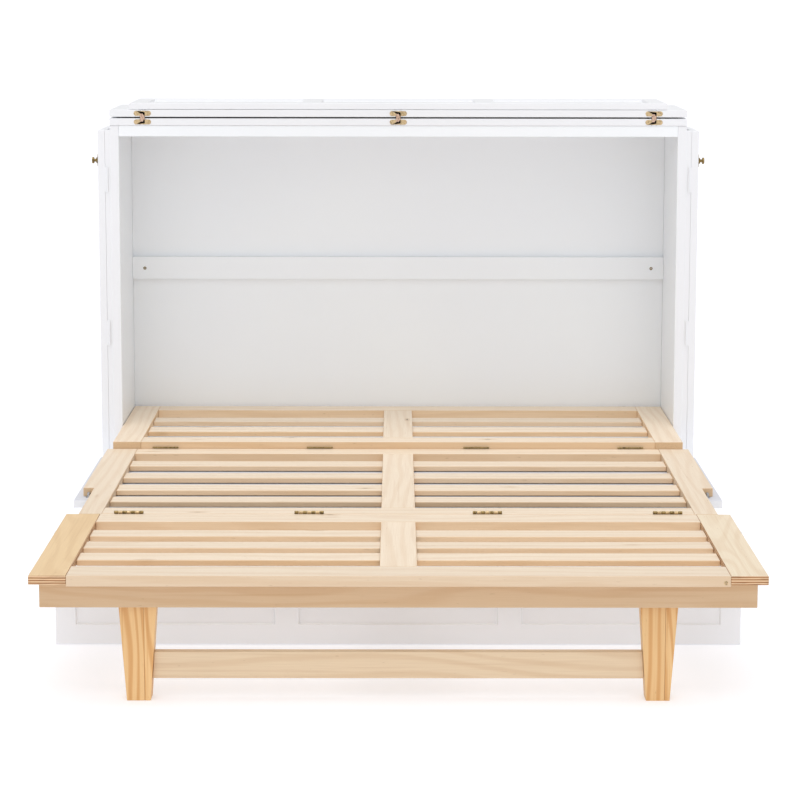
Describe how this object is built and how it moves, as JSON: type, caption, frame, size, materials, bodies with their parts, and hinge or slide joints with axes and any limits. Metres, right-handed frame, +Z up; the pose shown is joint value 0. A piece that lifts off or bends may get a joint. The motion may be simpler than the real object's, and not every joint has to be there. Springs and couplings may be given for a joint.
{
  "type": "murphy wall bed",
  "caption": "White cabinet wall bed folded down: a slatted wood deck in hinged sections on a leg frame and a pulled-out drawer, with the lid and side doors folded back.",
  "frame": {"origin": "on the floor under the middle of the opened bed's bounding box", "axes": "+X to the right of someone at the foot, +Y towards the cabinet's back, +Z up"},
  "size_m": [1.681, 2.04, 1.2285],
  "materials": {
    "white_lacquer": "satin white lacquer on fibreboard",
    "pine": "planed and clear-sealed pale pine",
    "plywood": "clear-sealed birch plywood with bare plies at its edges",
    "maple": "planed and clear-sealed pale hardwood",
    "leg_pine": "planed laminated pine with strong grain",
    "brass": "antique brass",
    "steel": "zinc-plated pressed steel",
    "rubber": "plain grey tread"
  },
  "bodies": {
    "cabinet": {"side_left": "white_lacquer", "side_right": "white_lacquer", "back_panel": "white_lacquer", "back_rail": "white_lacquer", "fixed_top": "white_lacquer", "top_rail": "white_lacquer", "rear_head_rail": "pine", "rear_joint_rail": "pine", "rear_side_board_left": "pine", "rear_side_board_right": "pine", "base_bearer_left": "white_lacquer", "base_bearer_right": "white_lacquer", "rear_centre_board": "pine", "rear_slat_1": "pine", "rear_slat_2": "pine", "flip_hinge_fixed_plate_1": "brass", "flip_hinge_fixed_plate_2": "brass", "flip_hinge_fixed_plate_3": "brass"},
    "flap": {"top_flap": "white_lacquer", "flip_hinge_flap_plate_1": "brass", "flip_hinge_flap_plate_2": "brass", "flip_hinge_flap_plate_3": "brass"},
    "flap_links": {"flip_hinge_link_1": "brass", "flip_hinge_link_2": "brass", "flip_hinge_link_3": "brass"},
    "drop_panel": {"drop_panel": "white_lacquer"},
    "door_left": {"door_left": "white_lacquer"},
    "door_right": {"door_right": "white_lacquer"},
    "middle": {"middle_rear_rail": "pine", "middle_front_rail": "pine", "middle_side_board_left": "pine", "middle_side_board_right": "pine", "middle_centre_board": "pine", "middle_slat_1": "pine", "middle_slat_2": "pine", "middle_slat_3": "pine", "middle_slat_4": "pine", "face_panel": "white_lacquer"},
    "front": {"front_joint_rail": "pine", "foot_rail": "pine", "wing_board_left": "plywood", "wing_board_right": "plywood", "front_centre_board": "pine", "front_slat_1": "pine", "front_slat_2": "pine", "front_slat_3": "pine", "apron": "maple"},
    "legs": {"leg_left": "leg_pine", "leg_right": "leg_pine", "stretcher": "maple"},
    "drawer": {"drawer_front": "white_lacquer", "drawer_side_left": "white_lacquer", "drawer_side_right": "white_lacquer", "drawer_back": "white_lacquer", "drawer_bottom": "white_lacquer"},
    "wheel_back_left": {"drawer_wheel_back_left": "rubber"},
    "wheel_back_right": {"drawer_wheel_back_right": "rubber"},
    "wheel_front_left": {"drawer_wheel_front_left": "rubber"},
    "wheel_front_right": {"drawer_wheel_front_right": "rubber"}
  },
  "joints": [
    {"name": "flap_fold", "type": "hinge", "parent": "cabinet", "child": "flap", "pos_m": [0, 0.6745, 1.188], "axis": [1, 0, 0], "range_deg": [0, 180]},
    {"name": "flap_link_turn", "type": "hinge", "parent": "cabinet", "child": "flap_links", "pos_m": [0, 0.6745, 1.188], "axis": [1, 0, 0], "range_deg": [0, 90]},
    {"name": "drop_panel_fold", "type": "hinge", "parent": "flap", "child": "drop_panel", "pos_m": [0, 0.961, 1.2105], "axis": [-1, 0, 0], "range_deg": [0, 90]},
    {"name": "door_left_fold", "type": "hinge", "parent": "cabinet", "child": "door_left", "pos_m": [-0.8135, 0.676, 0.58], "axis": [0, 0, 1], "range_deg": [0, 180]},
    {"name": "door_right_fold", "type": "hinge", "parent": "cabinet", "child": "door_right", "pos_m": [0.8135, 0.676, 0.58], "axis": [0, 0, -1], "range_deg": [0, 180]},
    {"name": "bed_fold", "type": "hinge", "parent": "cabinet", "child": "middle", "pos_m": [0, 0.422, 0.301], "axis": [-1, 0, 0], "range_deg": [0, 90]},
    {"name": "front_fold", "type": "hinge", "parent": "middle", "child": "front", "pos_m": [0, -0.402, 0.301], "axis": [-1, 0, 0], "range_deg": [0, 180]},
    {"name": "leg_fold", "type": "hinge", "parent": "front", "child": "legs", "pos_m": [0, -0.92, 0.258], "axis": [1, 0, 0], "range_deg": [0, 90]},
    {"name": "drawer_slide", "type": "slide", "parent": "cabinet", "child": "drawer", "axis": [0, 1, 0], "range_m": [0, 0.875]},
    {"name": "wheel_back_left_spin", "type": "hinge", "parent": "drawer", "child": "wheel_back_left", "pos_m": [-0.7, -0.01, 0.025], "axis": [1, 0, 0], "continuous": true},
    {"name": "wheel_back_right_spin", "type": "hinge", "parent": "drawer", "child": "wheel_back_right", "pos_m": [0.7, -0.01, 0.025], "axis": [1, 0, 0], "continuous": true},
    {"name": "wheel_front_left_spin", "type": "hinge", "parent": "drawer", "child": "wheel_front_left", "pos_m": [-0.7, -0.42, 0.025], "axis": [1, 0, 0], "continuous": true},
    {"name": "wheel_front_right_spin", "type": "hinge", "parent": "drawer", "child": "wheel_front_right", "pos_m": [0.7, -0.42, 0.025], "axis": [1, 0, 0], "continuous": true}
  ],
  "couplings": [
    {"joint": "flap_link_turn", "follows": "flap_fold", "ratio": 0.5},
    {"joint": "drawer_slide", "follows": "bed_fold", "m_per_rad": 0.55641}
  ]
}
